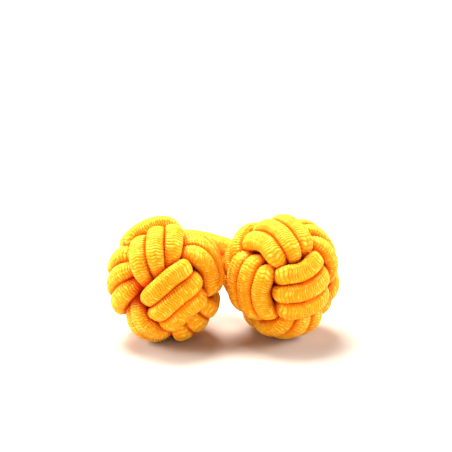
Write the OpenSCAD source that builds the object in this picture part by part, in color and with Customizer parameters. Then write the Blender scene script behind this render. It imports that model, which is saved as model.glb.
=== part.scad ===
// Silk knot cuff button: two round knots woven from three parallel passes of elastic cord,
// joined behind by a link of two cords. +Z is up, the knots lie side by side along X and
// the link bends behind them, towards +Y. They rest on Z = 0.

/* [Cord] */
// Distance between the middles of two cords that lie side by side
cord_pitch = 1.84; // [1.7:0.01:2.0]
// Cord diameter on the surface of a knot, as a share of the pitch
surface_share = 0.93; // [0.85:0.01:0.93]
// Cord diameter where it is squeezed under the others, as a share of the pitch
squeezed_share = 0.52; // [0.45:0.01:0.52]
// Cord diameter where the link passes through the weave, as a share of the pitch
neck_share = 0.30; // [0.26:0.01:0.32]

/* [Knot] */
// Radius to the middle of a cord on the surface, in cord pitches
surface_ring = 3.0; // [3.0:0.01:3.1]
// Radius to the middle of the outer passes where they run beneath, in cord pitches
beneath_ring = 1.84; // [1.82:0.01:1.86]
// How much higher the middle pass runs beneath, in cord pitches
middle_rise = 0.35; // [0.33:0.01:0.36]
// Radius of the packed core, in cord pitches
core_ring = 1.46; // [1.2:0.01:1.5]
// Width, depth and height of a knot against a true ball
knot_form = [0.97, 1.0, 1.07];

/* [Weave] */
// Highest latitude that the middle pass swings to, in degrees
swing = 63.8; // [63:0.1:64.5]
// Third harmonic of that swing, in degrees
swing_third = 1.1; // [0.8:0.1:1.4]
// Longitude added twice and four times a swing, in degrees
drift = [7.9, 1.55];
// Angle between the passes on the surface, in degrees
lane_surface = 19.4; // [19.2:0.1:19.6]
// Angle between the passes where they run beneath, in degrees
lane_beneath = 15.6; // [15.3:0.1:15.9]
// Power that keeps the cord full until it dives
dive_power = 1.6; // [1.4:0.1:1.8]

/* [Placing] */
// Distance between the middles of the knots, across
knot_apart = 12.45; // [12.3:0.05:14]
// How far the right knot lies behind the left one
knot_step = 1.0; // [0:0.1:2.5]
// Turn of the left knot about X, Y and Z
left_turn = [-81.5, -0.4, 55.8];
// Turn of the right knot about X, Y and Z
right_turn = [116.2, -15.9, 160.3];
// How much the underside gives under the knot's own weight
underside_give = 0.12; // [0.05:0.01:0.3]

/* [Link] */
// Latitude and longitude in the weave where the link comes out
exit_at = [34.5, 1.5];
// Angle by which the weave is opened round the link, in degrees
exit_open = 9; // [8:0.1:9.5]
// How far round that opening is felt, in degrees
exit_reach = 50; // [40:1:60]
// How much the knot is drawn out towards the link
exit_draw = 0.09; // [0.05:0.01:0.12]
// Straight run of the link out of a knot, from its middle, in cord pitches
link_stem = 3.5; // [3.3:0.1:3.8]
// Length of the handles that bend the link round the cuff
link_reach = 6.2; // [5:0.1:8]

/* [Hidden] */
// Names of the solids, left pieces first

cord_sides = 8;
turn_rings = 48;          // rings in a third of a pass
rings = 3 * turn_rings;
ring_bias = 12;           // crowds the rings where the cord runs fastest
link_rings = 36;
span = 1080;              // a pass swings three times while it goes round four times
cuff_yellow = "#FFC22E";
core_orange = "#F08A12";

// Where a pass changes level in one swing, in degrees of the swing:
// [middle of the change, shift for each pass outwards, half its length, +1 up or -1 down]
CHANGES = [
    [ 14.2, -2.8, 11.6, -1],
    [ 95.3,  1.6, 20.7,  1],
    [160.0,  4.1, 10.9, -1],
    [200.0,  4.1, 10.9,  1],
    [264.7,  1.6, 20.7, -1],
    [345.8, -2.8, 11.6,  1],
];

// Plain helpers
function unit(v) = v / norm(v);
function clamp01(x) = min(max(x, 0), 1);
function smooth(x) = let (t = clamp01(x)) t * t * t * (t * (6 * t - 15) + 10);
function total(v, i = 0) = i < len(v) ? v[i] + total(v, i + 1) : 0;
function turn_x(v, a) = [v.x, v.y * cos(a) - v.z * sin(a), v.y * sin(a) + v.z * cos(a)];
function turn_y(v, a) = [v.x * cos(a) + v.z * sin(a), v.y, v.z * cos(a) - v.x * sin(a)];
function turn_z(v, a) = [v.x * cos(a) - v.y * sin(a), v.x * sin(a) + v.y * cos(a), v.z];
function turned(v, t) = turn_z(turn_y(turn_x(v, t.x), t.y), t.z);
function on_ball(lat, lon) = [cos(lat) * cos(lon), cos(lat) * sin(lon), sin(lat)];

// The weave: middle pass on a unit ball, u in degrees of the swing
function track(u) = on_ball(swing * sin(u) + swing_third * sin(3 * u),
                            4 * u / 3 + drift[0] * sin(2 * u) + drift[1] * sin(4 * u));

// 1 on the surface, 0 beneath another band
function level(u, lane) =
    let (v = u - 360 * floor(u / 360))
    1 + total([for (c = CHANGES) c[3] * smooth((v - c[0] - c[1] * lane) / (2 * c[2]) + 0.5)]);

// Middle of a pass at u, in the knot's own axes
function pass_point(u, lane) =
    let (p = track(u), along = unit(track(u + 0.01) - track(u - 0.01)), side = cross(p, along),
         up = level(u, lane), a = lane * (lane_beneath + (lane_surface - lane_beneath) * up),
         low = beneath_ring + middle_rise * (1 - lane * lane))
    (p * cos(a) + side * sin(a)) * cord_pitch * (low + (surface_ring - low) * up);

function pass_radius(u, lane) = cord_pitch / 2
    * (squeezed_share + (surface_share - squeezed_share) * pow(level(u, lane), dive_power));

// The weave opens round the link's way out and is drawn out towards it
exit_way = on_ball(exit_at[0], exit_at[1]);
function opened(q) =
    let (r = norm(q), c = q * exit_way / r, a = acos(min(max(c, -1), 1)),
         aside = unit(q / r - c * exit_way), b = a + exit_open * exp(-a / exit_reach))
    (aside * sin(b) + exit_way * cos(b)) * r * (1 + exit_draw * exp(-pow(a / 60, 2)));

// From a knot's own axes to the model's, before it is set on the floor
function formed(q, turn) = let (v = turned(q, turn))
    [v.x * knot_form.x, v.y * knot_form.y, v.z * knot_form.z];

// Rings of points round a line of [point, radius] stations, with out as the side that stays up
function ring_at(p, along, out, r) =
    let (n = unit(out - (out * along) * along), b = cross(along, n))
    [for (k = [0:cord_sides - 1]) p + r * (cos(360 * k / cord_sides) * n
                                        + sin(360 * k / cord_sides) * b)];

function pass_rings(lane, turn) =
    let (s = [for (i = [0:rings - 1]) let (v = i * span / rings) v - ring_bias * sin(2 * v)],
         p = [for (u = s) formed(opened(pass_point(u, lane)), turn)])
    [for (i = [0:rings - 1])
        let (along = unit(p[(i + 1) % rings] - p[(i + rings - 1) % rings]))
        ring_at(p[i], along, p[i], pass_radius(s[i], lane))];

// The three passes of each knot about its own middle
left_passes = [for (lane = [-1:1]) pass_rings(lane, left_turn)];
right_passes = [for (lane = [-1:1]) pass_rings(lane, right_turn)];

// Each knot is lifted so that its underside gives a little on the floor
function lowest(passes) = min([for (pass = passes, ring = pass, q = ring) q.z]);
left_middle = [-knot_apart / 2, -knot_step / 2, -lowest(left_passes) - underside_give];
right_middle = [knot_apart / 2, knot_step / 2, -lowest(right_passes) - underside_give];
function on_floor(v) = [v.x, v.y, max(v.z, 0)];

// Faces of a tube through rings, closed on itself or capped at both ends
function wall_faces(n, s) = [for (i = [0:n - 1], k = [0:s - 1])
    let (a = (i % n) * s + k, b = (i % n) * s + (k + 1) % s, c = a + s, d = b + s)
    for (f = [[a, b, d], [a, d, c]]) f];

module loop_tube(ring_list) {
    n = len(ring_list);
    size = n * cord_sides;
    polyhedron([for (ring = ring_list, q = ring) q],
               [for (f = wall_faces(n, cord_sides)) [for (j = f) j % size]], convexity = 12);
}

module capped_tube(ring_list) {
    n = len(ring_list);
    polyhedron([for (ring = ring_list, q = ring) q],
               concat(wall_faces(n - 1, cord_sides),
                      [[for (k = [cord_sides - 1:-1:0]) k],
                       [for (k = [0:cord_sides - 1]) (n - 1) * cord_sides + k]]), convexity = 6);
}

// One of the three parallel passes of a knot
module knot_pass(pass, middle) {
    color(cuff_yellow) translate(-foot)
        loop_tube([for (ring = pass) [for (q = ring) on_floor(q + middle)]]);
}

// The packed middle that the link is held in
module core(middle) {
    color(core_orange) translate(middle - foot) sphere(r = core_ring * cord_pitch, $fn = 48);
}

// The link: straight out of each knot, then one bend round the cuff
function out_of(turn) = unit(formed(exit_way, turn));
left_out = out_of(left_turn);
right_out = out_of(right_turn);
stem_from = (core_ring + 0.1) * cord_pitch;
stem_to = link_stem * cord_pitch;
bend_from = left_middle + left_out * stem_to;
bend_to = right_middle + right_out * stem_to;
function bend_at(t) = pow(1 - t, 3) * bend_from
    + 3 * t * pow(1 - t, 2) * (bend_from + left_out * link_reach)
    + 3 * t * t * (1 - t) * (bend_to + right_out * link_reach) + pow(t, 3) * bend_to;

stem_rings = 8;
bend_rings = link_rings - 2 * stem_rings;
link_line = concat(
    [for (i = [0:stem_rings - 1])
        left_middle + left_out * (stem_from + (stem_to - stem_from) * i / stem_rings)],
    [for (i = [0:bend_rings]) bend_at(i / bend_rings)],
    [for (i = [1:stem_rings])
        right_middle + right_out * (stem_to + (stem_from - stem_to) * i / stem_rings)]);

// 0 in a knot's neck, 1 where the link is free
function freed(p) = smooth((min(norm(p - left_middle), norm(p - right_middle)) / cord_pitch
                            - 3.1) / 1.2);

// One cord of the link, above (1) or below (-1) its middle line
function link_ring_list(side) = let (n = len(link_line)) [for (i = [0:n - 1])
    let (p = link_line[i], f = freed(p),
         along = unit(link_line[min(i + 1, n - 1)] - link_line[max(i - 1, 0)]),
         up = unit([0, 0, 1] - along.z * along),
         share = neck_share + (surface_share - neck_share) * f,
         apart = (neck_share + 0.06 + (1 - neck_share - 0.04) * f) / 2)
    ring_at(p + side * apart * cord_pitch * up, along, up, share * cord_pitch / 2)];

module link_cord(side) {
    color(cuff_yellow) translate(-foot) capped_tube(link_ring_list(side));
}

// Middle of the whole footprint, which goes to the origin
reach_points = concat([for (pass = left_passes, ring = pass, q = ring) q + left_middle],
                      [for (pass = right_passes, ring = pass, q = ring) q + right_middle],
                      [for (ring = link_ring_list(1), q = ring) q]);
function middle_of(v) = (min(v) + max(v)) / 2;
foot = [middle_of([for (q = reach_points) q.x]), middle_of([for (q = reach_points) q.y]), 0];

knot_pass(left_passes[0], left_middle);  // left_pass_1
knot_pass(left_passes[1], left_middle);  // left_pass_2
knot_pass(left_passes[2], left_middle);  // left_pass_3
core(left_middle);  // left_core
knot_pass(right_passes[0], right_middle);  // right_pass_1
knot_pass(right_passes[1], right_middle);  // right_pass_2
knot_pass(right_passes[2], right_middle);  // right_pass_3
core(right_middle);  // right_core
link_cord(1);  // link_upper
link_cord(-1);  // link_lower
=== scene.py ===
"""Silk knot cuff button: two knots of ribbed elastic cord with the link that joins them."""
import math

import bpy
import numpy as np
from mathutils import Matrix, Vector


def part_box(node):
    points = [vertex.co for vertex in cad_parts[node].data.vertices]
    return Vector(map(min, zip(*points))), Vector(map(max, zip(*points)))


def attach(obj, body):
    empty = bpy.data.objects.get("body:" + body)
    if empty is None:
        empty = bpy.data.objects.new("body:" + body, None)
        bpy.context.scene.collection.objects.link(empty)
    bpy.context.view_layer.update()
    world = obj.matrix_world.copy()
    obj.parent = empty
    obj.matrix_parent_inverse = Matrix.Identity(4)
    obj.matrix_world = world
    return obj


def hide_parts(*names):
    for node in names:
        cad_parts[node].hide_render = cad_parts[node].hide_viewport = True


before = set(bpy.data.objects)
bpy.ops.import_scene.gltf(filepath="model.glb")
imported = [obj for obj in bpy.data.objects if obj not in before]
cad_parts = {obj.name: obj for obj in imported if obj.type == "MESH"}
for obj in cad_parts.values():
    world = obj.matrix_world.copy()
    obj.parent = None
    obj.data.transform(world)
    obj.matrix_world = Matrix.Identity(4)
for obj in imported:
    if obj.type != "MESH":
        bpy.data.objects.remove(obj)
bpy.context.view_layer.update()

bl_info = {
    "name": "Silk Knot Cuff Button",
    "version": (1, 0, 0),
    "blender": (4, 5, 0),
    "location": "View3D > Sidebar > Cuff Button",
    "description": "Weaves a silk knot cuff button's two knots and their link of ribbed cord",
    "category": "Object",
}


# Colours and nodes

def linear(code):
    """An sRGB hex colour as the linear values that Blender works with."""
    parts = [int(code[i:i + 2], 16) / 255 for i in (1, 3, 5)]
    return [c / 12.92 if c <= 0.04045 else ((c + 0.055) / 1.055) ** 2.4 for c in parts]


def add_node(tree, kind, settings=None, inputs=None):
    """Adds a shader node with its settings, and fills or links its inputs."""
    made = tree.nodes.new("ShaderNode" + kind)
    for name, value in (settings or {}).items():
        setattr(made, name, value)
    for socket, value in (inputs or {}).items():
        if isinstance(value, bpy.types.NodeSocket):
            tree.links.new(value, made.inputs[socket])
        else:
            made.inputs[socket].default_value = value
    return made


# Settings

class CordSettings(bpy.types.PropertyGroup):
    spacing: bpy.props.FloatProperty(
        name="Cord spacing", description="Distance between two cords that lie side by side",
        default=0.00184, unit="LENGTH")
    fullness: bpy.props.FloatProperty(
        name="Fullness", description="Width of a cord on the surface, as a share of the spacing",
        default=1.12, subtype="FACTOR", min=0.8, max=1.2)
    flatness: bpy.props.FloatProperty(
        name="Flatness", description="Thickness of a cord on the surface against its width",
        default=0.88, subtype="FACTOR", min=0.7, max=1.0)
    squeezed: bpy.props.FloatProperty(
        name="Squeezed", description="Width of a cord beneath a band, as a share of the spacing",
        default=0.62, subtype="FACTOR", min=0.5, max=1.0)
    rib_spacing: bpy.props.FloatProperty(
        name="Rib spacing", description="Distance from one cross rib of the braid to the next",
        default=0.00024, unit="LENGTH")
    rib_depth: bpy.props.FloatProperty(
        name="Rib depth", description="Depth of the groove between two ribs",
        default=0.000065, unit="LENGTH")
    yarns: bpy.props.IntProperty(
        name="Yarn columns", description="Columns of slanting yarns round the braid", default=12)


class WeaveSettings(bpy.types.PropertyGroup):
    surface_ring: bpy.props.FloatProperty(
        name="Surface ring", description="Radius to a cord's middle on the surface, in spacings",
        default=3.0)
    beneath_ring: bpy.props.FloatProperty(
        name="Beneath ring", description="Radius to a cord's middle beneath a band, in spacings",
        default=1.84)
    rounds: bpy.props.IntProperty(
        name="Tightening rounds", description="How long the cords are pulled tight and settle",
        default=40)
    exit_lat: bpy.props.FloatProperty(
        name="Exit latitude", description="Latitude in the weave where the link comes out",
        default=math.radians(34.5), subtype="ANGLE", unit="ROTATION")
    exit_lon: bpy.props.FloatProperty(
        name="Exit longitude", description="Longitude in the weave where the link comes out",
        default=math.radians(1.5), subtype="ANGLE", unit="ROTATION")
    left_turn: bpy.props.FloatVectorProperty(
        name="Left turn", description="Turn of the left knot about X, Y and Z",
        default=[math.radians(a) for a in (-81.5, -0.4, 55.8)], subtype="EULER", unit="ROTATION")
    right_turn: bpy.props.FloatVectorProperty(
        name="Right turn", description="Turn of the right knot about X, Y and Z",
        default=[math.radians(a) for a in (116.2, -15.9, 160.3)], subtype="EULER",
        unit="ROTATION")
    form: bpy.props.FloatVectorProperty(
        name="Form", description="Width, depth and height of a knot against a true ball",
        default=(0.97, 1.0, 1.07))
    link_reach: bpy.props.FloatProperty(
        name="Link reach", description="Length of the handles that bend the link",
        default=0.0062, unit="LENGTH")


class ColourSettings(bpy.types.PropertyGroup):
    thread: bpy.props.FloatVectorProperty(
        name="Thread", description="Golden yellow of the braid's yarns",
        default=linear("#FFA812"), subtype="COLOR", size=3)
    light: bpy.props.FloatVectorProperty(
        name="Light thread", description="Paler yellow of the yarns' crowns",
        default=linear("#FFB61C"), subtype="COLOR", size=3)
    # Painted shade: this darker orange stands for the shade in the grooves between ribs
    groove: bpy.props.FloatVectorProperty(
        name="Groove", description="Orange between two ribs",
        default=linear("#F68A06"), subtype="COLOR", size=3)
    # Painted highlight: pale yellow glints on the crowns of the yarns
    glint: bpy.props.FloatVectorProperty(
        name="Glint", description="Pale yellow on the yarns that stand highest",
        default=linear("#FFDA4E"), subtype="COLOR", size=3)
    # Painted shade: orange red where cords press together, for the shade in the crevices and the
    # orange light the cords throw on each other
    crevice_shade: bpy.props.FloatVectorProperty(
        name="Crevice", description="Orange red where cords press together",
        default=linear("#FA7A00"), subtype="COLOR", size=3)
    # Painted shade: red on the cords deep inside a knot and on the whole core, for the shade in
    # there
    inside: bpy.props.FloatVectorProperty(
        name="Inside", description="Red of the cords deep inside a knot",
        default=linear("#D22E00"), subtype="COLOR", size=3)
    floor: bpy.props.FloatVectorProperty(
        name="Floor", description="Pale floor under the object",
        default=linear("#CDC2B8"), subtype="COLOR", size=3)


class StageSettings(bpy.types.PropertyGroup):
    elevation: bpy.props.FloatProperty(
        name="Camera height", description="Angle of the camera above the floor",
        default=math.radians(18), subtype="ANGLE", unit="ROTATION")
    distance: bpy.props.FloatProperty(
        name="Camera distance", description="Distance from the camera to the knots",
        default=0.25, unit="LENGTH")
    lens: bpy.props.FloatProperty(
        name="Lens", description="Focal length on a 36 mm sensor, in millimetres", default=187.2)
    lift: bpy.props.FloatProperty(
        name="Framing lift", description="How far above the knots' middle the camera looks",
        default=0.00553, unit="LENGTH")
    aside: bpy.props.FloatProperty(
        name="Framing aside", description="How far right of the knots' middle the camera looks",
        default=0.00019, unit="LENGTH")


# The weave, in cord spacings about a knot's own middle

# Where a pass changes level in one swing, in degrees of the swing:
# middle of the change, shift for each pass outwards, half its length, up (1) or down (-1)
CHANGES = (
    (14.2, -2.8, 11.6, -1), (95.3, 1.6, 20.7, 1), (160.0, 4.1, 10.9, -1),
    (200.0, 4.1, 10.9, 1), (264.7, 1.6, 20.7, -1), (345.8, -2.8, 11.6, 1),
)
SPAN = 1080     # a pass closes after three swings of 360 degrees
POINTS = 300    # points in a pass while it is tightened
DRAWN = 1200    # points in a pass once it is drawn out

# How the cords settle, all in cord spacings
GAP = 0.04          # left between two cords
PAIR_REACH = 1.25   # points further apart than this are passed over
OWN_REACH = 1.15    # points nearer than this along one pass don't push each other
PUSH = 1.2          # how much of an overlap one round takes away
STIFF = 0.25        # how much of a bend's unevenness one round takes away
PULL = 0.02         # how hard the cords are drawn straight
LIFT = 0.03         # how fast the surface stretches rise to the surface ring
INMOST = 1.6        # least distance of a cord's middle from the knot's own


def unit(v):
    return v / np.linalg.norm(v, axis=-1, keepdims=True)


def smooth(x):
    t = np.clip(x, 0, 1)
    return t * t * t * (t * (6 * t - 15) + 10)


def on_ball(lat, lon):
    return np.stack([np.cos(lat) * np.cos(lon), np.cos(lat) * np.sin(lon), np.sin(lat)], -1)


def track(u):
    """Middle pass on a unit ball, u in degrees of the swing."""
    a = np.radians(u)
    lat = np.radians(63.8 * np.sin(a) + 1.1 * np.sin(3 * a))
    lon = np.radians(4 * u / 3 + 7.9 * np.sin(2 * a) + 1.55 * np.sin(4 * a))
    return on_ball(lat, lon)


def level(u, lane):
    """1 on the surface, 0 beneath another band."""
    v = u % 360
    return 1 + sum(way * smooth((v - at - shift * lane) / (2 * half) + 0.5)
                   for at, shift, half, way in CHANGES)


def loose_weave(count, weave):
    """The three passes as drawn, and how high each point lies: 1 on the surface, 0 beneath."""
    u = np.arange(count) * SPAN / count
    lines, levels = [], []
    for lane in (-1, 0, 1):
        p = track(u)
        side = np.cross(p, unit(track(u + 0.01) - track(u - 0.01)))
        up = level(u, lane)
        a = np.radians(lane * (15.6 + 3.8 * up))
        low = weave.beneath_ring + 0.35 * (1 - lane * lane)
        r = low + (weave.surface_ring - low) * up
        lines.append((p * np.cos(a)[:, None] + side * np.sin(a)[:, None]) * r[:, None])
        levels.append(up)
    return np.stack(lines), np.stack(levels)


def evened(lines):
    """The weave made exactly the same after each third turn and after its half turn."""
    count = lines.shape[1]
    c, s = math.cos(2 * math.pi / 3), math.sin(2 * math.pi / 3)
    third = np.array([[c, -s, 0], [s, c, 0], [0, 0, 1]])
    parts = lines.reshape(3, 3, count // 3, 3)
    mean = (parts[:, 0] + parts[:, 1] @ third + parts[:, 2] @ third @ third) / 3
    lines = np.stack([mean, mean @ third.T, mean @ third.T @ third.T], 1).reshape(3, count, 3)
    flipped = np.roll(lines[::-1, ::-1], 1, axis=1) * (1, -1, -1)
    return (lines + flipped) / 2


def tightened(lines, levels, cord, weave):
    """Pulls the passes tight: cords that overlap push apart and straighten between crossings."""
    count = lines.shape[1]
    radius = (cord.squeezed + (1 - cord.squeezed) * levels).reshape(-1) / 2
    owner = np.repeat(np.arange(3), count)
    place = np.tile(np.arange(count), 3)
    step = np.linalg.norm(np.roll(lines, -1, 1) - lines, axis=2).mean()
    own = int(OWN_REACH / step) + 1
    high = levels > 0.97
    for turn in range(weave.rounds):
        lines = evened(lines)
        flat = lines.reshape(-1, 3)
        if turn % 6 == 0:
            square = (flat * flat).sum(1)
            near = square[:, None] + square[None] - 2 * flat @ flat.T < PAIR_REACH ** 2
            i, j = np.nonzero(np.triu(near, 1))
            along = np.abs(place[i] - place[j])
            along = np.minimum(along, count - along)
            other = ~((owner[i] == owner[j]) & (along < own))
            i, j = i[other], j[other]
        apart = flat[j] - flat[i]
        far = np.linalg.norm(apart, axis=1)
        over = radius[i] + radius[j] + GAP - far
        hit = over > 0
        a, b = i[hit], j[hit]
        push = apart[hit] / far[hit][:, None] * (over[hit] / 2)[:, None]
        size = len(flat)
        times = np.bincount(a, minlength=size) + np.bincount(b, minlength=size)
        moved = np.stack([np.bincount(b, push[:, c], size) - np.bincount(a, push[:, c], size)
                          for c in range(3)], 1)
        lines = (flat + moved / np.maximum(times, 1)[:, None] * PUSH).reshape(lines.shape)
        bend = (np.roll(lines, 1, 1) + np.roll(lines, -1, 1)) / 2 - lines
        lines = lines - STIFF * ((np.roll(bend, 1, 1) + np.roll(bend, -1, 1)) / 2 - bend)
        lines = lines + PULL * bend
        r = np.linalg.norm(lines, axis=2)
        lines = lines * np.minimum(weave.surface_ring / r, 1)[..., None]
        r = np.linalg.norm(lines, axis=2)
        lift = LIFT * np.clip(weave.surface_ring - r, 0, 1) * high
        lines = lines * (1 + lift / r)[..., None]
        r = np.linalg.norm(lines, axis=2)
        lines = lines * np.maximum(INMOST / r, 1)[..., None]
    return evened(lines)


def drawn_out(values, count):
    """A closed row of values with more points in it, smoothly."""
    return np.fft.irfft(np.fft.rfft(values, axis=0), count, axis=0) * (count / len(values))


def opened(points, weave):
    """The weave opens round the link's way out and is drawn out towards it: pushed aside by
    9 degrees there, which fades over 50, and lifted by 9 per cent, which fades over 60."""
    way = on_ball(weave.exit_lat, weave.exit_lon)
    r = np.linalg.norm(points, axis=-1, keepdims=True)
    c = np.clip(points @ way / r[..., 0], -1, 1)
    a = np.arccos(c)
    aside = unit(points / r - c[..., None] * way)
    b = a + math.radians(9) * np.exp(-np.degrees(a) / 50)
    pulled = 1 + 0.09 * np.exp(-(np.degrees(a) / 60) ** 2)
    return (aside * np.sin(b)[..., None] + way * np.cos(b)[..., None]) * r * pulled[..., None]


def formed(points, turn, weave):
    """From a knot's own axes to the model's, about the knot's middle."""
    x, y, z = turn
    rx = np.array([[1, 0, 0], [0, math.cos(x), -math.sin(x)], [0, math.sin(x), math.cos(x)]])
    ry = np.array([[math.cos(y), 0, math.sin(y)], [0, 1, 0], [-math.sin(y), 0, math.cos(y)]])
    rz = np.array([[math.cos(z), -math.sin(z), 0], [math.sin(z), math.cos(z), 0], [0, 0, 1]])
    return points @ (rz @ ry @ rx).T * np.array(weave.form)


def sway(place, waves, seed):
    """A smooth unevenness from -1 to 1 that joins up with itself once place has gone round."""
    rng = np.random.default_rng(seed)
    total = np.zeros_like(place)
    for wave in waves:
        total = total + np.sin(2 * np.pi * (wave * place + rng.random())) * rng.uniform(0.6, 1)
    return total / len(waves)


# Cords

SIDES = 36          # corners round a cord
RINGS_PER_RIB = 4
RIB = np.array([1.0, 0.74, 0.0, 0.74])  # height of a rib's rings: crown, slope, groove, slope
FLAT_SHARE = 0.75   # height between two yarn columns against the columns' own
YARN_SLANT = 0.62   # how far a yarn runs along the cord, in rib spacings
YARN_WAVE = 0.12    # how far the ribs wander, in rib spacings
SECTION = 2.6       # exponent of a cord's section: 2 is round, and more is squarer
FULLER = 0.45       # power that keeps a cord full while it starts to dive

# The rest is in cord spacings, and a radius is from the middle of a knot
TOUCH = 0.01        # left between cords that press on each other
PRESS_REACH = 0.3   # how near a cord has to be to press
OWN_STRETCH = 1.3   # stretch of a point's own cord that doesn't press on it
KNOT_SHADE = 3.3      # radius where a knot's cords start to turn red inwards, as painted shade
LINK_SHADE = 2.9      # radius where the link's cords do
SHADE_FADE = 0.9      # length over which they do
LINK_END = 1.2      # radius where the link's cords end
LINK_BEND = 3.5     # radius where they leave the knot and start to bend
LINK_FREE = 2.7     # radius where they start to fill out
LINK_FILL = 1.1     # length over which they do
LINK_THIN, LINK_FULL = 0.44, 0.97     # width of each, inside the knot and outside it
LINK_CLOSE, LINK_SPREAD = 0.46, 0.52  # distance between the two inside, and what is added outside
CORE_RADIUS, CORE_CORD = 0.82, 0.42   # radius of the core's coil, and half of its width


def ribbed_rings(line, radius, out, cord, closed, seed):
    """Rings of points round a line, ribbed as a fine braid: slanting yarns in columns."""
    ends = np.vstack([line, line[:1]]) if closed else line
    run = np.concatenate([[0], np.cumsum(np.linalg.norm(np.diff(ends, axis=0), axis=1))])
    ribs = int(round(run[-1] / cord.rib_spacing))
    count = ribs * RINGS_PER_RIB
    at = np.arange(count) * run[-1] / count if closed else np.linspace(0, run[-1], count)

    def along(values):
        values = np.vstack([values, values[:1]]) if closed else values
        return np.stack([np.interp(at, run, values[:, c]) for c in range(values.shape[1])], 1)

    p = along(line)
    r = along(radius[:, None])[:, 0]
    if closed:
        t = unit(np.roll(p, -1, 0) - np.roll(p, 1, 0))
    else:
        t = unit(np.gradient(p, axis=0))
    n = along(out)
    n = unit(n - (n * t).sum(1, keepdims=True) * t)
    b = np.cross(t, n)

    place = at / run[-1]
    ring = np.arange(count)
    column = np.arange(SIDES) / SIDES * cord.yarns
    twist = 0.5 * sway(place, (3, 5, 8), seed)
    angle = 2 * np.pi * np.arange(SIDES)[None] / SIDES + twist[:, None]
    slant = np.abs((column / 2) % 1 - 0.5) * 2 - 0.5
    wave = sway(place, (31, 47, 71, 113), seed + 1)[:, None] * np.cos(angle) \
        + sway(place, (29, 53, 67, 101), seed + 2)[:, None] * np.sin(angle)
    shift = cord.rib_spacing * (YARN_SLANT * slant[None] + YARN_WAVE * wave)
    bead = FLAT_SHARE + (1 - FLAT_SHARE) * np.abs(np.sin(np.pi * column))
    crown = RIB[ring % RINGS_PER_RIB][:, None] * bead[None]
    uneven = 1 + 0.02 * sway(place, (7, 11, 17, 29), seed + 3)
    size = r[:, None] * uneven[:, None] - cord.rib_depth * (1 - crown)
    up, side = cord.flatness * np.cos(angle), np.sin(angle)
    square = (np.abs(np.cos(angle)) ** SECTION + np.abs(side) ** SECTION) ** (-1 / SECTION)
    rings = p[:, None] + (size * square)[..., None] * (up[..., None] * n[:, None]
                                                      + side[..., None] * b[:, None])
    return rings + shift[..., None] * t[:, None], p, at


def pressed(rings, line, at, length, neighbours, own, cord):
    """Flattens a cord where it runs into others, and tells how hard each point is pressed on:
    1 where cords touch and 0 where the cord lies open; this is the mask of the painted shade in
    the crevices."""
    rough = rings[::RINGS_PER_RIB].reshape(-1, 3)
    run = np.repeat(at[::RINGS_PER_RIB], SIDES)
    least = np.full(len(rough), 1.0)
    for key, (other, radius, place) in neighbours.items():
        for start in range(0, len(rough), 3000):
            part = rough[start:start + 3000]
            far = np.sqrt(np.maximum((part * part).sum(1)[:, None] + (other * other).sum(1)[None]
                                     - 2 * part @ other.T, 0)) - radius[None]
            if key == own:
                gone = np.abs(run[start:start + 3000][:, None] - place[None])
                far[np.minimum(gone, length - gone) < OWN_STRETCH * cord.spacing] = 1
            least[start:start + 3000] = np.minimum(least[start:start + 3000], far.min(1))
    least = np.repeat(least.reshape(-1, SIDES), RINGS_PER_RIB, axis=0)[:len(rings)]
    inward = line[:, None] - rings
    reach = PRESS_REACH * cord.spacing
    push = np.clip(TOUCH * cord.spacing - least, 0, reach) / 2
    rings = rings + unit(inward) * push[..., None]
    return rings, smooth(1 - least / reach)


def cord_mesh(name, rings, shade, depth, closed):
    """A tube through the rings, with ribs along U and yarn columns round V."""
    count, sides = rings.shape[:2]
    rows = count if closed else count - 1
    i, k = np.meshgrid(np.arange(rows), np.arange(sides), indexing="ij")
    i, k = i.reshape(-1), k.reshape(-1)
    i2, k2 = (i + 1) % count, (k + 1) % sides
    quads = np.stack([i * sides + k, i * sides + k2, i2 * sides + k2, i2 * sides + k], 1)
    mesh = bpy.data.meshes.new(name)
    mesh.vertices.add(count * sides)
    mesh.vertices.foreach_set("co", rings.reshape(-1))
    corners = quads.reshape(-1)
    starts, sizes = np.arange(len(quads)) * 4, np.full(len(quads), 4)
    if not closed:
        caps = np.concatenate([np.arange(sides)[::-1], (count - 1) * sides + np.arange(sides)])
        starts = np.concatenate([starts, len(corners) + np.array([0, sides])])
        sizes = np.concatenate([sizes, [sides, sides]])
        corners = np.concatenate([corners, caps])
    mesh.loops.add(len(corners))
    mesh.loops.foreach_set("vertex_index", corners.astype(np.int32))
    mesh.polygons.add(len(starts))
    mesh.polygons.foreach_set("loop_start", starts.astype(np.int32))
    mesh.polygons.foreach_set("loop_total", sizes.astype(np.int32))
    uv = np.zeros((len(corners), 2))
    across = [k, k + 1, k + 1, k]
    ahead = [i, i, i + 1, i + 1]
    uv[:len(quads) * 4, 0] = np.stack(ahead, 1).reshape(-1) / RINGS_PER_RIB
    uv[:len(quads) * 4, 1] = np.stack(across, 1).reshape(-1) / sides
    layer = mesh.uv_layers.new(name="braid")
    layer.data.foreach_set("uv", uv.reshape(-1))
    mesh.polygons.foreach_set("use_smooth", np.ones(len(starts), bool))
    # The masks of the painted shade: in crevices where cords press, and deep inside a knot
    for kind, values in (("pressed", shade), ("depth", depth)):
        layer = mesh.attributes.new(kind, "FLOAT", "POINT")
        layer.data.foreach_set("value", values.reshape(-1))
    mesh.update(calc_edges=True)
    mesh.validate()
    made = bpy.data.objects.new(name, mesh)
    bpy.context.scene.collection.objects.link(made)
    return made


def middle_of(node):
    lo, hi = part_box(node)
    return (np.array(lo) + np.array(hi)) / 2


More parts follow.
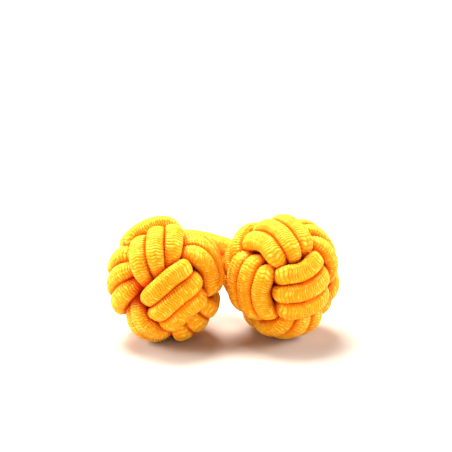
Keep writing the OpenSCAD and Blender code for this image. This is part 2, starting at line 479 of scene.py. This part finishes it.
def settled_weave():
    """Both knots share one weave, so it is tightened once and kept on the scene."""
    scene = bpy.context.scene
    if "settled_weave" not in scene:
        lines, levels = loose_weave(POINTS, scene.cuff_weave)
        lines = tightened(lines, levels, scene.cuff_cord, scene.cuff_weave)
        scene["settled_weave"] = np.concatenate([lines, levels[..., None]], 2).reshape(-1).tolist()
    kept = np.array(scene["settled_weave"]).reshape(3, POINTS, 4)
    return kept[..., :3], kept[..., 3]


SIDES_OF_PAIR = (("left", "left_turn", 11), ("right", "right_turn", 211))


def laid_passes(side, turn, seed):
    """The middle lines and radii of one knot's passes, where its CAD passes lie."""
    scene = bpy.context.scene
    cord, weave = scene.cuff_cord, scene.cuff_weave
    lines, levels = settled_weave()
    laid = []
    for k in range(3):
        line = drawn_out(lines[k], DRAWN)
        high = np.clip(drawn_out(levels[k][:, None], DRAWN)[:, 0], 0, 1)
        place = np.arange(DRAWN) / DRAWN
        line = line * (1 + 0.004 * sway(place, (5, 9, 14), seed + 31 * k))[:, None]
        line = formed(opened(line, weave), turn, weave) * cord.spacing
        share = cord.squeezed + (cord.fullness - cord.squeezed) * high ** FULLER
        laid.append((line + middle_of(side + "_core"), share * cord.spacing / 2))
    return laid


def lay_knot(side, turn, seed):
    """Lays one knot's three passes, pressed flat where they touch."""
    cord = bpy.context.scene.cuff_cord
    middle = middle_of(side + "_core")
    laid = laid_passes(side, getattr(bpy.context.scene.cuff_weave, turn), seed)
    around = {}
    for k, (line, radius) in enumerate(laid):
        run = np.linalg.norm(np.roll(line, -1, 0) - line, axis=1)
        around[k] = (line, radius, np.concatenate([[0], np.cumsum(run)[:-1]]))
    for k, (line, radius) in enumerate(laid):
        rings, centre, at = ribbed_rings(line, radius, line - middle, cord, True, seed + 7 * k)
        rings, shade = pressed(rings, centre, at, at[-1] + at[1], around, k, cord)
        rings[..., 2] = np.maximum(rings[..., 2], 0)
        node = "%s_pass_%d" % (side, k + 1)
        # Painted shade: the cords turn red towards the knot's middle
        depth = smooth((KNOT_SHADE - np.linalg.norm(rings - middle, axis=2) / cord.spacing)
                       / SHADE_FADE)
        piece = cord_mesh(node + "_braid", rings, shade, depth, True)
        piece.data.materials.append(braid_material())
        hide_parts(node)
        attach(piece, "root")


# Materials

def braid_material():
    """Rayon yarns braided over an elastic core: satin, ribbed across, with painted shade that is
    darker orange in the grooves, orange red in the folds and red deep inside, and painted pale
    yellow glints.
    """
    name = "Rayon braid, golden yellow"
    if name in bpy.data.materials:
        return bpy.data.materials[name]
    scene = bpy.context.scene
    colour, cord = scene.cuff_colours, scene.cuff_cord
    made = bpy.data.materials.new(name)
    made.use_nodes = True
    tree = made.node_tree
    tree.nodes.clear()
    uv = add_node(tree, "UVMap", {"uv_map": "braid"})
    split = add_node(tree, "SeparateXYZ", None, {0: uv.outputs[0]})
    ribs, round_it = split.outputs[0], split.outputs[1]
    # One rib along U each 0.24 mm: 1 on its crown, 0 in the groove
    turn = add_node(tree, "Math", {"operation": "MULTIPLY"}, {0: ribs, 1: 2 * math.pi})
    wave = add_node(tree, "Math", {"operation": "COSINE"}, {0: turn.outputs[0]})
    crown = add_node(tree, "MapRange", None, {0: wave.outputs[0], 1: -1.0, 2: 0.0, 3: 0.0, 4: 1.0})
    # Each yarn takes the dye a little differently
    cell = add_node(tree, "CombineXYZ", None, {
        0: add_node(tree, "Math", {"operation": "ROUND"}, {0: ribs}).outputs[0],
        1: add_node(tree, "Math", {"operation": "FLOOR"}, {
            0: add_node(tree, "Math", {"operation": "MULTIPLY"},
                        {0: round_it, 1: float(cord.yarns)}).outputs[0]}).outputs[0]})
    dye = add_node(tree, "TexWhiteNoise", {"noise_dimensions": "2D"}, {0: cell.outputs[0]})
    thread = add_node(tree, "Mix", {"data_type": "RGBA"}, {
        0: dye.outputs[0], 6: [*colour.thread, 1], 7: [*colour.light, 1]})
    # Painted shade in the grooves between ribs, stronger in some patches along the cord than in
    # others
    patches = add_node(tree, "Mapping", {"vector_type": "POINT"},
                       {0: uv.outputs[0], 3: (0.11, 2.0, 1.0)})
    patch = add_node(tree, "TexNoise", {"noise_dimensions": "2D"},
                     {0: patches.outputs[0], 2: 1.0, 3: 1.0})
    groove_shade_strength = add_node(tree, "MapRange", None,
                         {0: patch.outputs[0], 1: 0.3, 2: 0.7, 3: 0.45, 4: 1.0})
    groove = add_node(tree, "Math", {"operation": "MULTIPLY"}, {
        0: add_node(tree, "Math", {"operation": "SUBTRACT"},
                    {0: 1.0, 1: crown.outputs[0]}).outputs[0],
        1: groove_shade_strength.outputs[0]})
    # Painted shade: darker orange in the grooves
    ribbed = add_node(tree, "Mix", {"data_type": "RGBA"}, {
        0: groove.outputs[0], 6: thread.outputs[2], 7: [*colour.groove, 1]})
    # Each yarn's float stands up as a bead between its two neighbours
    columns = add_node(tree, "Math", {"operation": "MULTIPLY"},
                       {0: round_it, 1: cord.yarns * math.pi})
    bead = add_node(tree, "Math", {"operation": "ABSOLUTE"}, {
        0: add_node(tree, "Math", {"operation": "SINE"}, {0: columns.outputs[0]}).outputs[0]})
    relief = add_node(tree, "Math", {"operation": "MULTIPLY"}, {
        0: add_node(tree, "Math", {"operation": "POWER"},
                    {0: bead.outputs[0], 1: 0.7}).outputs[0],
        1: crown.outputs[0]})
    # Painted highlight: pale yellow glints on the beads' crowns, on some yarns more than others
    glint = add_node(tree, "Math", {"operation": "MULTIPLY"}, {
        0: relief.outputs[0],
        1: add_node(tree, "Math", {"operation": "POWER"},
                    {0: dye.outputs[0], 1: 2.5}).outputs[0]})
    glinting = add_node(tree, "Mix", {"data_type": "RGBA"}, {
        0: glint.outputs[0], 6: ribbed.outputs[2], 7: [*colour.glint, 1]})
    # Painted shade: orange red where cords press together, and red deep inside a knot, for the
    # shade there and the orange light the cords throw on each other
    crevice_shade_mask = add_node(tree, "Attribute", {"attribute_name": "pressed"})
    with_crevice_shade = add_node(tree, "Mix", {"data_type": "RGBA"}, {
        0: crevice_shade_mask.outputs[2], 6: glinting.outputs[2], 7: [*colour.crevice_shade, 1]})
    # Painted shade: red deep inside a knot
    deep = add_node(tree, "Attribute", {"attribute_name": "depth"})
    final = add_node(tree, "Mix", {"data_type": "RGBA"}, {
        0: deep.outputs[2], 6: with_crevice_shade.outputs[2], 7: [*colour.inside, 1]})
    # Filaments run across the cord in each yarn
    strands = add_node(tree, "Mapping", {"vector_type": "POINT"},
                       {0: uv.outputs[0], 3: (7.0, 26.0, 1.0)})
    filament = add_node(tree, "TexNoise", {"noise_dimensions": "2D"},
                        {0: strands.outputs[0], 2: 1.0, 3: 2.0, 4: 0.6})
    height = add_node(tree, "Math", {"operation": "MULTIPLY_ADD"},
                      {0: filament.outputs[0], 1: 0.5, 2: relief.outputs[0]})
    bump = add_node(tree, "Bump", None, {0: 0.85, 1: 0.00007, 3: height.outputs[0]})
    shader = add_node(tree, "BsdfPrincipled", None, {
        "Base Color": final.outputs[2], "Roughness": 0.48, "IOR": 1.5,
        "Specular IOR Level": 0.25, "Specular Tint": [*linear("#FFE795"), 1],
        "Sheen Weight": 0.06, "Sheen Roughness": 0.35, "Sheen Tint": [*linear("#FFE7A0"), 1],
        "Normal": bump.outputs[0]})
    add_node(tree, "OutputMaterial", None, {0: shader.outputs[0]})
    return made


def floor_material():
    """Plain matt card: pale and even."""
    made = bpy.data.materials.new("Pale matt card")
    made.use_nodes = True
    tree = made.node_tree
    tree.nodes.clear()
    shader = add_node(tree, "BsdfPrincipled", None, {
        "Base Color": [*bpy.context.scene.cuff_colours.floor, 1], "Roughness": 0.9,
        "Specular IOR Level": 0.2})
    add_node(tree, "OutputMaterial", None, {0: shader.outputs[0]})
    return made


# Operators

class CUFF_OT_left_knot(bpy.types.Operator):
    """Weaves the left knot"""
    bl_idname = "cuff.left_knot"
    bl_label = "Left Knot"

    def execute(self, context):
        lay_knot(*SIDES_OF_PAIR[0])
        return {"FINISHED"}


class CUFF_OT_right_knot(bpy.types.Operator):
    """Weaves the right knot"""
    bl_idname = "cuff.right_knot"
    bl_label = "Right Knot"

    def execute(self, context):
        lay_knot(*SIDES_OF_PAIR[1])
        return {"FINISHED"}


class CUFF_OT_link(bpy.types.Operator):
    """Bends the two cords of the link from knot to knot"""
    bl_idname = "cuff.link"
    bl_label = "Link"

    def execute(self, context):
        scene = context.scene
        cord, weave = scene.cuff_cord, scene.cuff_weave
        way = on_ball(weave.exit_lat, weave.exit_lon)
        left, right = middle_of("left_core"), middle_of("right_core")
        left_out = unit(formed(way, weave.left_turn, weave))
        right_out = unit(formed(way, weave.right_turn, weave))
        start, stem = LINK_END * cord.spacing, LINK_BEND * cord.spacing
        a, d = left + left_out * stem, right + right_out * stem
        b, c = a + left_out * weave.link_reach, d + right_out * weave.link_reach
        t = np.linspace(0, 1, 240)[:, None]
        bend = (1 - t) ** 3 * a + 3 * t * (1 - t) ** 2 * b + 3 * t * t * (1 - t) * c + t ** 3 * d
        s = np.linspace(start, stem, 60)[:-1, None]
        line = np.vstack([left + left_out * s, bend, (right + right_out * s)[::-1]])
        far = np.minimum(np.linalg.norm(line - left, axis=1), np.linalg.norm(line - right, axis=1))
        free = smooth((far / cord.spacing - LINK_FREE) / LINK_FILL)
        t = unit(np.gradient(line, axis=0))
        up = unit(np.array([0, 0, 1.0]) - t[:, 2:] * t)
        share = LINK_THIN + (LINK_FULL - LINK_THIN) * free
        apart = (LINK_CLOSE + LINK_SPREAD * free) / 2 * cord.spacing
        run = np.concatenate([[0], np.cumsum(np.linalg.norm(np.diff(line, axis=0), axis=1))])
        weaves = {side + str(k): (*laid, run[:1]) for side, turn, seed in SIDES_OF_PAIR
                  for k, laid in enumerate(laid_passes(side, getattr(weave, turn), seed))}
        for side, node, seed in ((1, "link_upper", 401), (-1, "link_lower", 433)):
            rings, centre, at = ribbed_rings(line + side * apart[:, None] * up,
                                             share * cord.spacing / 2, up, cord, False, seed)
            other = {"twin": (line - side * apart[:, None] * up, share * cord.spacing / 2, run)}
            rings, shade = pressed(rings, centre, at, at[-1], {**other, **weaves}, None, cord)
            # Painted shade: the link's cords turn red where they run into a knot
            far = np.minimum(np.linalg.norm(rings - left, axis=2),
                             np.linalg.norm(rings - right, axis=2))
            depth = smooth((LINK_SHADE - far / cord.spacing) / SHADE_FADE)
            piece = cord_mesh(node + "_braid", rings, shade, depth, False)
            piece.data.materials.append(braid_material())
            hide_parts(node)
            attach(piece, "root")
        return {"FINISHED"}


class CUFF_OT_cores(bpy.types.Operator):
    """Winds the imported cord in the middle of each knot"""
    bl_idname = "cuff.cores"
    bl_label = "Cores"

    def execute(self, context):
        cord = context.scene.cuff_cord
        for side, turn, seed in SIDES_OF_PAIR:
            middle = middle_of(side + "_core")
            t = np.linspace(-1, 1, 400)
            out = on_ball(np.radians(78 * t), np.radians(540 * t))  # three turns from pole to pole
            line = middle + CORE_RADIUS * cord.spacing * out
            radius = np.full(len(t), CORE_CORD * cord.spacing)
            rings, centre, at = ribbed_rings(line, radius, out, cord, False, seed + 77)
            # The core takes the painted shade of the crevices and the painted red shade all over
            ones = np.ones(rings.shape[:2])
            piece = cord_mesh(side + "_core_winding", rings, ones, ones, False)
            piece.data.materials.append(braid_material())
            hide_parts(side + "_core")
            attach(piece, "root")
        return {"FINISHED"}


class CUFF_OT_stage(bpy.types.Operator):
    """Sets the floor, the lights and the camera"""
    bl_idname = "cuff.stage"
    bl_label = "Stage"

    def execute(self, context):
        scene = context.scene
        stage = scene.cuff_stage
        bpy.ops.object.select_all(action="DESELECT")
        bpy.ops.mesh.primitive_plane_add(size=6)
        floor = context.object
        floor.name = "floor"
        floor.data.materials.append(floor_material())

        middle = (middle_of("left_core") + middle_of("right_core")) / 2
        up = np.array([0, math.sin(stage.elevation), math.cos(stage.elevation)])
        back = np.array([0, -math.cos(stage.elevation), math.sin(stage.elevation)])
        aim = middle + up * stage.lift + np.array([stage.aside, 0, 0])
        bpy.ops.object.camera_add(location=aim + back * stage.distance,
                                  rotation=(math.pi / 2 - stage.elevation, 0, 0))
        camera = context.object
        camera.data.lens = stage.lens
        camera.data.sensor_width = 36
        camera.data.clip_start, camera.data.clip_end = 0.01, 20
        scene.camera = camera

        # Name, place and size in metres, watts, tint
        for name, place, size, power, tint in (
                ("key", (-0.06, 0.12, 0.27), 0.18, 2.7, "#FFFDF9"),
                ("right rim", (0.27, 0.03, 0.12), 0.16, 1.2, "#FFFFFF"),
                ("left rim", (-0.27, 0.02, 0.14), 0.16, 1.25, "#FFFFFF"),
                ("fill", (-0.02, -0.36, 0.08), 0.36, 0.85, "#FFF7E7")):
            bpy.ops.object.light_add(type="AREA", location=place)
            lamp = context.object
            lamp.name = name
            lamp.data.size = size
            lamp.data.energy = power
            lamp.data.color = linear(tint)
            lamp.rotation_euler = (Vector((0, 0, 0.006)) - Vector(place)).to_track_quat(
                "-Z", "Y").to_euler()

        world = bpy.data.worlds.new("Soft studio")
        world.use_nodes = True
        world.node_tree.nodes["Background"].inputs[0].default_value = (1, 1, 1, 1)
        world.node_tree.nodes["Background"].inputs[1].default_value = 0.04
        scene.world = world
        scene.view_settings.view_transform = "Standard"
        return {"FINISHED"}


class CUFF_PT_panel(bpy.types.Panel):
    """Lists the pieces of the cuff button"""
    bl_label = "Cuff Button"
    bl_idname = "CUFF_PT_panel"
    bl_space_type = "VIEW_3D"
    bl_region_type = "UI"
    bl_category = "Cuff Button"

    def draw(self, context):
        for operator in OPERATORS:
            self.layout.operator(operator.bl_idname)
        for group in ("cuff_cord", "cuff_weave", "cuff_colours", "cuff_stage"):
            box = self.layout.box()
            for name in getattr(context.scene, group).__annotations__:
                box.prop(getattr(context.scene, group), name)


GROUPS = {"cuff_cord": CordSettings, "cuff_weave": WeaveSettings,
          "cuff_colours": ColourSettings, "cuff_stage": StageSettings}
OPERATORS = (CUFF_OT_left_knot, CUFF_OT_right_knot, CUFF_OT_link, CUFF_OT_cores, CUFF_OT_stage)


def register():
    for name, group in GROUPS.items():
        bpy.utils.register_class(group)
        setattr(bpy.types.Scene, name, bpy.props.PointerProperty(type=group))
    for kind in (*OPERATORS, CUFF_PT_panel):
        bpy.utils.register_class(kind)


def unregister():
    for kind in (CUFF_PT_panel, *reversed(OPERATORS)):
        bpy.utils.unregister_class(kind)
    for name, group in reversed(list(GROUPS.items())):
        delattr(bpy.types.Scene, name)
        bpy.utils.unregister_class(group)


def main():
    register()
    bpy.ops.cuff.stage()
    bpy.ops.cuff.left_knot()
    bpy.ops.cuff.right_knot()
    bpy.ops.cuff.link()
    bpy.ops.cuff.cores()


if __name__ == "__main__":
    main()
